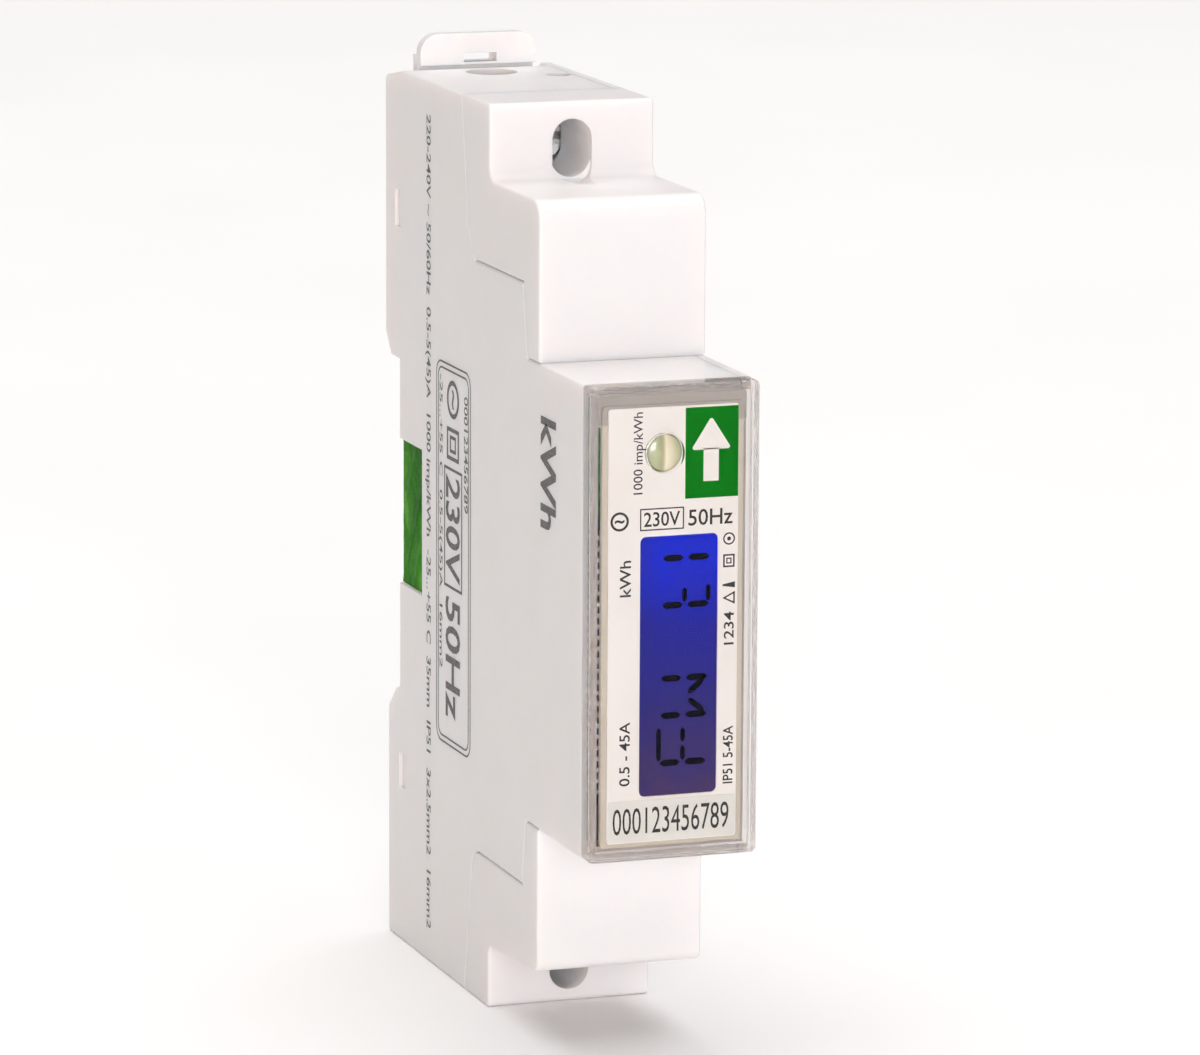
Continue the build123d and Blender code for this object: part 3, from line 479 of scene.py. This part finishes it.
# ---------------------------------------------------------------- flat prints
class Sheet:
    """Collects flat shapes lying in one plane and turns them into a single piece.

    across and upward are the reading directions; sizes and places are in millimetres.
    """

    def __init__(self, name, origin, across, upward, slot, material):
        self.name, self.slot, self.material = name, slot, material
        self.origin = Vector(origin) * MM
        self.across, self.upward = Vector(across), Vector(upward)
        self.verts, self.faces = [], []

    def add(self, points, faces):
        start = len(self.verts)
        for u, v in points:
            self.verts.append(self.origin + self.across * (u * MM) + self.upward * (v * MM))
        self.faces += [[start + i for i in face] for face in faces]

    def polygon(self, points):
        self.add(points, [list(range(len(points)))])

    def band(self, outer, inner):
        """The strip between two loops with the same number of points."""
        count = len(outer)
        faces = [[i, (i + 1) % count, count + (i + 1) % count, count + i] for i in range(count)]
        self.add(outer + inner, faces)

    def frame(self, u0, v0, u1, v1, line, corner=0.0):
        outer = rounded(u0, v0, u1, v1, corner)
        inner_corner = max(corner - line, 0.0)
        self.band(outer, rounded(u0 + line, v0 + line, u1 - line, v1 - line, inner_corner))

    def ring(self, u, v, radius, line, sides=36):
        loops = []
        for r in (radius, radius - line):
            loops.append([(u + r * math.cos(a), v + r * math.sin(a)) for a in turns(sides)])
        self.band(*loops)

    def disc(self, u, v, radius, sides=24):
        self.polygon([(u + radius * math.cos(a), v + radius * math.sin(a)) for a in turns(sides)])

    def text(self, words, u, v, wide, high, upright=True, weight=0.0):
        """Words fitted to a box centred on (u, v); when not upright they read up the sheet."""
        curve = bpy.data.curves.new(self.name + "_text", "FONT")
        curve.body = words
        curve.align_x = "LEFT"
        curve.offset = weight
        curve.resolution_u = 3
        holder = bpy.data.objects.new(self.name + "_text", curve)
        scene.collection.objects.link(holder)
        bpy.context.view_layer.update()
        drawn = holder.evaluated_get(bpy.context.evaluated_depsgraph_get())
        mesh = bpy.data.meshes.new_from_object(drawn)
        spots = [(p.co.x, p.co.y) for p in mesh.vertices]
        low = [min(s[k] for s in spots) for k in (0, 1)]
        size = [max(s[k] for s in spots) - low[k] for k in (0, 1)]
        placed = []
        for x, y in spots:
            a = ((x - low[0]) / size[0] - 0.5) * wide
            b = ((y - low[1]) / size[1] - 0.5) * high
            placed.append((u + a, v + b) if upright else (u - b, v + a))
        self.add(placed, [list(p.vertices) for p in mesh.polygons])
        bpy.data.objects.remove(holder)
        bpy.data.curves.remove(curve)
        bpy.data.meshes.remove(mesh)

    def finish(self):
        mesh = bpy.data.meshes.new(self.name)
        mesh.from_pydata(self.verts, [], self.faces)
        outward = self.across.cross(self.upward)
        bm = bmesh.new()
        bm.from_mesh(mesh)
        bmesh.ops.triangulate(bm, faces=[f for f in bm.faces if len(f.verts) > 4])
        for face in bm.faces:
            if face.normal.dot(outward) < 0:
                face.normal_flip()
        bm.to_mesh(mesh)
        bm.free()
        return new_piece(self.name, mesh, self.material, "meter")


def turns(count):
    return [2 * math.pi * i / count for i in range(count)]


def rounded(u0, v0, u1, v1, radius, steps=6):
    """Corner points of a box with round corners, going round once."""
    points = []
    for cu, cv, begin in ((u1, v1, 0.0), (u0, v1, 90.0), (u0, v0, 180.0), (u1, v0, 270.0)):
        su = -radius if cu == u1 else radius
        sv = -radius if cv == v1 else radius
        for step in range(steps + 1):
            angle = math.radians(begin + 90.0 * step / steps)
            points.append((cu + su + radius * math.cos(angle), cv + sv + radius * math.sin(angle)))
    return points


def new_piece(name, mesh, material, body, smooth=False):
    piece = bpy.data.objects.new(name, mesh)
    mesh.materials.clear()
    mesh.materials.append(materials[material])
    if smooth:
        for polygon in mesh.polygons:
            polygon.use_smooth = True
    scene.collection.objects.link(piece)
    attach(piece, body)
    return piece


FRONT = ((1, 0, 0), (0, 0, 1))  # read from the front
LEFT_DOWN = ((0, 0, -1), (0, -1, 0))  # on the left wall, read downwards

# how far each print stands off its surface, in millimetres
INK_LIFT = 0.012
PANEL_LIFT = 0.006  # under the arrow
DIGITS_LIFT = 0.008
GLASS_LIFT = 0.01
WALL_LIFT = 0.01

plate_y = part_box("faceplate")[0].y / MM
sticker_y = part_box("serial_label")[0].y / MM
glass_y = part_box("lcd_glass")[0].y / MM
wall_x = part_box("main_housing")[0].x / MM

ink = Sheet("label_print", (0, plate_y - INK_LIFT, 0), *FRONT, "printed_label", "print_ink")
ink.text("1000 imp/kWh", -3.53, 17.85, 8.1, 1.25, False, 0.006)
ink.ring(-5.55, 11.2, 0.95, 0.24)
ink.text("~", -5.55, 11.2, 1.0, 0.42, True, 0.03)
ink.frame(-3.45, 10.15, 1.1, 12.35, 0.13)
ink.text("230V", -1.18, 11.25, 3.75, 1.45, True, 0.01)
ink.text("50Hz", 3.85, 11.2, 4.6, 1.62, True, 0.008)
ink.text("kWh", -4.92, 5.5, 3.6, 1.15, False, 0.01)
ink.text("0.5 - 45A", -4.92, -12.0, 6.4, 1.1, False, 0.01)
ink.ring(5.8, 8.9, 0.62, 0.15)
ink.disc(5.8, 8.9, 0.2)
ink.frame(5.2, 6.05, 6.4, 7.35, 0.17)
ink.frame(5.52, 6.4, 6.08, 7.0, 0.13)
ink.polygon([(5.15, 4.2), (6.45, 4.0), (6.45, 4.6), (5.15, 4.36)])
ink.band([(5.15, 3.0), (6.45, 2.35), (6.45, 3.65)], [(5.48, 3.0), (6.28, 2.62), (6.28, 3.38)])
ink.text("1234", 5.85, -0.05, 3.3, 1.05, False, 0.01)
ink.text("IP51 5-45A", 5.85, -12.75, 5.8, 1.05, False, 0.012)
ink.finish()

panel_at = (0, plate_y - PANEL_LIFT, 0)
green = Sheet("label_green_panel", panel_at, *FRONT, "printed_label", "print_green")
green.polygon([(1.2, 13.1), (6.7, 13.1), (6.7, 22.1), (1.2, 22.1)])
green.finish()
arrow_at = (0, plate_y - INK_LIFT, 0)
white = Sheet("label_arrow", arrow_at, *FRONT, "printed_label", "printed_label")
white.polygon([(3.08, 14.75), (4.66, 14.75), (4.66, 18.0), (3.08, 18.0)])
white.polygon([(2.07, 17.88), (5.69, 17.88), (5.84, 18.1), (4.01, 20.93), (3.75, 20.93), (1.92, 18.1)])
white.finish()

digits_at = (0, sticker_y - DIGITS_LIFT, 0)
digits = Sheet("serial_digits", digits_at, *FRONT, "serial_sticker", "print_ink")
digits.text("000123456789", -0.1, -18.75, 12.1, 2.65, True, 0.0)
digits.finish()

lcd = Sheet("lcd_segments", (0, glass_y - GLASS_LIFT, 0), *FRONT, "lcd_panel", "lcd_segment")


def segment(u0, v0, u1, v1, thick=0.5):
    """One display bar with pointed ends, between two points."""
    along = Vector((u1 - u0, v1 - v0)).normalized()
    side = Vector((-along.y, along.x)) * (thick / 2)
    nose = along * (thick * 0.6)
    a, b = Vector((u0, v0)), Vector((u1, v1))
    corners = (a, a + nose + side, b - nose + side, b, b - nose - side, a + nose - side)
    lcd.polygon([(c.x, c.y) for c in corners])


ROW_THICK = 0.66
ROW_LEAN = 0.012  # the rows shift left by this much per millimetre going down
for height in (7.25, 2.55, -4.75, -8.45, -13.2):
    slip = (7.4 - height) * ROW_LEAN
    segment(-0.98 - slip, height, 1.2 - slip, height, ROW_THICK)
    segment(1.6 - slip, height, 3.9 - slip, height, ROW_THICK)
segment(1.3, 2.75, 1.3, 4.3, 0.5)
segment(3.75, 2.75, 3.75, 4.5, 0.5)
segment(3.35, -4.95, 1.7, -6.35, 0.6)
segment(1.7, -6.85, 3.4, -8.2, 0.6)
segment(-1.3, -9.6, -1.3, -13.05, 0.5)
segment(1.2, -9.7, 1.2, -11.2, 0.5)
segment(1.2, -11.5, 1.2, -13.05, 0.5)
lcd.finish()

# the left wall: u runs down, v runs towards the front
side_at = (wall_x - WALL_LIFT, 0, 0)
side = Sheet("side_print", side_at, *LEFT_DOWN, "housing_plastic", "side_ink")
ratings = "220-240V ~ 50/60Hz  0.5-5(45)A  1000 imp/kWh  -25...+55 C"
ratings += "  35mm  IP51  3x2.5mm2  16mm2"
side.text(ratings, -1.7, 10.0, 86.5, 1.85, True, 0.01)
for inset in (0.0, 0.62):
    corner = 1.6 - inset * 0.6
    side.frame(-20.0 + inset, 12.8 + inset, 20.3 - inset, 24.3 - inset, 0.2, corner)
side.text("-25...+55 C  0.5-5(45)A  16mm2", -3.0, 14.3, 31.0, 1.3, True, 0.008)
side.text("000123456789", -11.35, 22.75, 12.1, 1.3, True, 0.008)
side.ring(-16.4, 18.4, 2.0, 0.5)
side.text("~", -16.4, 18.4, 2.0, 0.8, True, 0.02)
side.frame(-13.4, 16.4, -10.0, 20.4, 0.42)
side.frame(-12.6, 17.4, -10.8, 19.4, 0.36)
side.frame(-9.2, 15.5, 3.5, 21.5, 0.3)
side.text("230V", -2.85, 18.4, 11.0, 4.7, True, 0.014)
side.text("50Hz", 10.9, 18.4, 12.8, 4.9, True, 0.014)
side.text("kWh", -13.9, 48.9, 11.2, 4.7, True, 0.025)
side.finish()


# ---------------------------------------------------------------- key and seal
def revolve(name, profile, centre, steps, material, body):
    """A turned piece about an axis along Y; profile runs (radius, depth) from the front."""
    bm = bmesh.new()
    loops = []
    for radius, depth in profile:
        if radius == 0:
            loops.append([bm.verts.new((centre[0] * MM, depth * MM, centre[1] * MM))])
            continue
        loop = []
        for angle in turns(steps):
            x = centre[0] + radius * math.cos(angle)
            z = centre[1] + radius * math.sin(angle)
            loop.append(bm.verts.new((x * MM, depth * MM, z * MM)))
        loops.append(loop)
    for first, second in zip(loops, loops[1:]):
        for i in range(steps):
            j = (i + 1) % steps
            if len(first) == 1:
                bm.faces.new((first[0], second[i], second[j]))
            elif len(second) == 1:
                bm.faces.new((first[i], second[0], first[j]))
            else:
                bm.faces.new((first[i], second[i], second[j], first[j]))
    bmesh.ops.recalc_face_normals(bm, faces=bm.faces[:])
    mesh = bpy.data.meshes.new(name)
    bm.to_mesh(mesh)
    bm.free()
    return new_piece(name, mesh, material, body, smooth=True)


key_low, key_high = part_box("scroll_button")
key_centre = ((key_low.x + key_high.x) / 2 / MM, (key_low.z + key_high.z) / 2 / MM)
apex, tail = key_low.y / MM, key_high.y / MM
cap, rim = 1.8, (key_high.x - key_low.x) / 2 / MM
flange = plate_y + 0.21
stem, stem_end = 0.8, 0.68
DOME_HIGH = 0.33
DOME_SWING = 60  # degrees of arc from the crown to the dome's edge
full_sin = math.sin(math.radians(DOME_SWING))
full_drop = 1 - math.cos(math.radians(DOME_SWING))
profile = [(0, apex)]
for degree in range(8, DOME_SWING + 1, 4):
    swing = math.radians(degree)
    reach = cap * math.sin(swing) / full_sin * 0.985
    profile.append((reach, apex + DOME_HIGH * (1 - math.cos(swing)) / full_drop))
profile += [(cap, apex + 0.42), (cap, flange)]
profile += [(rim, flange + 0.02), (rim, flange + 0.28)]
profile += [(stem, flange + 0.3), (stem, tail - 0.12), (stem_end, tail), (0, tail)]
key = revolve("key_dome", profile, key_centre, 72, "key_plastic", "key")
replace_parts(key, "scroll_button")

seal_low, seal_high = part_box("tamper_seal")


def crumple(y, z):
    """How far the foil stands out from its pocket floor, in millimetres."""
    fine = noise.fractal(Vector((y * 0.55, z * 0.42, 1.7)), 0.8, 2.1, 4)
    crease = abs(noise.noise(Vector((y * 0.30 + z * 0.16, z * 0.05, 8.2))))
    return 0.10 + 0.035 * fine + 0.05 * (1 - min(crease * 6, 1.0))


def build_seal():
    bm = bmesh.new()
    across, along = 40, 80
    y0, y1 = seal_low.y / MM, seal_high.y / MM
    z0, z1 = seal_low.z / MM, seal_high.z / MM
    floor_x = seal_high.x / MM
    sheets = []
    for back in (False, True):
        grid = []
        for i in range(along + 1):
            row = []
            for j in range(across + 1):
                y = y0 + (y1 - y0) * j / across
                z = z0 + (z1 - z0) * i / along
                lift = 0.0 if back else crumple(y, z)
                row.append(bm.verts.new(((floor_x - lift) * MM, y * MM, z * MM)))
            grid.append(row)
        sheets.append(grid)
        for i in range(along):
            for j in range(across):
                quad = (grid[i][j], grid[i][j + 1], grid[i + 1][j + 1], grid[i + 1][j])
                bm.faces.new(quad if back else quad[::-1])
    rims = []
    for grid in sheets:
        ring = [grid[0][j] for j in range(across + 1)]
        ring += [grid[i][across] for i in range(1, along + 1)]
        ring += [grid[along][j] for j in range(across - 1, -1, -1)]
        ring += [grid[i][0] for i in range(along - 1, 0, -1)]
        rims.append(ring)
    for a in range(len(rims[0])):
        b = (a + 1) % len(rims[0])
        bm.faces.new((rims[0][a], rims[0][b], rims[1][b], rims[1][a]))
    bmesh.ops.recalc_face_normals(bm, faces=bm.faces[:])
    mesh = bpy.data.meshes.new("seal_foil_sheet")
    bm.to_mesh(mesh)
    bm.free()
    return new_piece("seal_foil_sheet", mesh, "seal_foil", "meter", smooth=True)


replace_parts(build_seal(), "tamper_seal")


# ---------------------------------------------------------------- latch spring
SPRING_COILS = 10
SPRING_WIRE = 0.2 * MM  # radius
STEPS_PER_COIL = 32
WIRE_SIDES = 10


def build_spring():
    """An open coil in the latch spring's box. The real spring shortens towards its upper end as the latch
    is pulled up; this coil keeps one length.
    """
    low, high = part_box("latch_spring")
    wire = SPRING_WIRE
    radius = (high.x - low.x) / 2 - wire
    centre = (low + high) / 2
    bm = bmesh.new()
    rings = []
    count = SPRING_COILS * STEPS_PER_COIL
    for i in range(count + 1):
        angle = 2 * math.pi * SPRING_COILS * i / count
        out = Vector((math.cos(angle), math.sin(angle), 0.0))
        height = low.z + wire + (high.z - low.z - 2 * wire) * i / count
        core = Vector((centre.x, centre.y, height)) + out * radius
        ring = []
        for b in turns(WIRE_SIDES):
            ring.append(bm.verts.new(core + out * wire * math.cos(b) + Vector((0, 0, wire * math.sin(b)))))
        rings.append(ring)
    for first, second in zip(rings, rings[1:]):
        for i in range(len(first)):
            j = (i + 1) % len(first)
            bm.faces.new((first[i], second[i], second[j], first[j]))
    bm.faces.new(rings[0])
    bm.faces.new(rings[-1])
    bmesh.ops.recalc_face_normals(bm, faces=bm.faces[:])
    mesh = bpy.data.meshes.new("latch_spring_coil")
    bm.to_mesh(mesh)
    bm.free()
    spring = new_piece(mesh.name, mesh, "spring_steel", "meter", smooth=True)
    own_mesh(spring)
    return spring


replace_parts(build_spring(), "latch_spring")


# ---------------------------------------------------------------- floor, light, camera
FLOOR_HALF = 9.0


def flat_mesh(name, half, z, steps=8):
    """A level square grid centred on the origin."""
    bm = bmesh.new()
    spots = [half * (2 * i / steps - 1) for i in range(steps + 1)]
    grid = [[bm.verts.new((x, y, z)) for y in spots] for x in spots]
    for i in range(steps):
        for j in range(steps):
            bm.faces.new((grid[i][j], grid[i + 1][j], grid[i + 1][j + 1], grid[i][j + 1]))
    mesh = bpy.data.meshes.new(name)
    bm.to_mesh(mesh)
    bm.free()
    return mesh


pale = Finish("pale_floor")
mottle = pale.span(pale.noise(220.0, 2.0), 0.35, 0.65)
pale.colour(pale.mix(mottle, (0.955, 0.95, 0.95), (0.97, 0.965, 0.965)))
pale.rough(pale.noise(60.0, 2.0), 0.7, 0.85)
pale.set(Specular_IOR_Level=0.2)
floor = bpy.data.objects.new("floor", flat_mesh("floor", FLOOR_HALF, cad_box[0].z))
floor.data.materials.append(pale.mat)
scene.collection.objects.link(floor)

# The camera sees a bright room, the meter is lit by a dim one, and light through the
# window is a little brighter than that.
ROOM_LIT, ROOM_SEEN = 0.13, 0.95
THROUGH_SHARE = 0.3
world = bpy.data.worlds.new("soft_room")
world.use_nodes = True
room = world.node_tree
dim = room.nodes["Background"]
dim.inputs["Color"].default_value = (1.0, 0.95, 0.90, 1.0)
dim.inputs["Strength"].default_value = ROOM_LIT
bright = room.nodes.new("ShaderNodeBackground")
bright.inputs["Color"].default_value = (1.0, 0.99, 0.985, 1.0)
bright.inputs["Strength"].default_value = ROOM_SEEN
path = room.nodes.new("ShaderNodeLightPath")
through = room.nodes.new("ShaderNodeMath")
through.operation = "MULTIPLY"
through.inputs[1].default_value = THROUGH_SHARE
seen = room.nodes.new("ShaderNodeMath")
seen.operation = "MAXIMUM"
choose = room.nodes.new("ShaderNodeMixShader")
room.links.new(path.outputs["Is Camera Ray"], seen.inputs[0])
room.links.new(path.outputs["Is Transmission Ray"], through.inputs[0])
room.links.new(through.outputs[0], seen.inputs[1])
room.links.new(seen.outputs[0], choose.inputs[0])
room.links.new(dim.outputs[0], choose.inputs[1])
room.links.new(bright.outputs[0], choose.inputs[2])
room.links.new(choose.outputs[0], room.nodes["World Output"].inputs["Surface"])
scene.world = world
scene.view_settings.view_transform = "Standard"


def softbox(name, place, target, side, power, colour=(1, 1, 1)):
    """A square area light that faces its target."""
    light = bpy.data.lights.new(name, "AREA")
    light.shape = "RECTANGLE"
    light.size = side
    light.size_y = side
    light.energy = power
    light.color = colour
    holder = bpy.data.objects.new(name, light)
    holder.location = place
    holder.rotation_euler = (Vector(target) - Vector(place)).to_track_quat("-Z", "Y").to_euler()
    scene.collection.objects.link(holder)


middle = (0.0, -0.03, 0.0)
softbox("front_light", (-0.5, -2.2, 0.35), middle, 0.8, 28.5, (0.97, 0.98, 1.0))
softbox("key_light", (0.7, -1.6, 0.95), middle, 1.2, 2.0)
softbox("left_light", (-1.5, -1.5, 0.35), middle, 0.9, 3.6, (1.0, 0.72, 0.42))
softbox("top_light", (0.1, 0.3, 3.0), middle, 4.0, 124.0, (1.0, 0.995, 0.99))

# fitted to the photo
AZIMUTH, ELEVATION, ROLL = -19.24, 10.83, 0.28  # degrees
CAMERA_BACK, CAMERA_RIGHT, CAMERA_DOWN = 0.7036, 0.01298, 0.00079
FOCAL_LENGTH, SENSOR_WIDTH = 198.6, 36.0  # millimetres
azimuth, elevation, roll = (math.radians(a) for a in (AZIMUTH, ELEVATION, ROLL))
level = math.cos(elevation)
back = Vector((math.sin(azimuth) * level, -math.cos(azimuth) * level, math.sin(elevation)))
right = Vector((math.cos(azimuth), math.sin(azimuth), 0.0))
up = back.cross(right)
tilted_right = right * math.cos(roll) + up * math.sin(roll)
tilted_up = up * math.cos(roll) - right * math.sin(roll)
camera = bpy.data.objects.new("camera", bpy.data.cameras.new("camera"))
camera.data.sensor_width = SENSOR_WIDTH
camera.data.lens = FOCAL_LENGTH
camera.data.clip_start = 0.01
camera.data.clip_end = 50.0
stand = back * CAMERA_BACK + tilted_right * CAMERA_RIGHT - tilted_up * CAMERA_DOWN
turned = Matrix((tilted_right, tilted_up, back)).transposed().to_4x4()
camera.matrix_world = Matrix.Translation(stand) @ turned
scene.collection.objects.link(camera)
scene.camera = camera
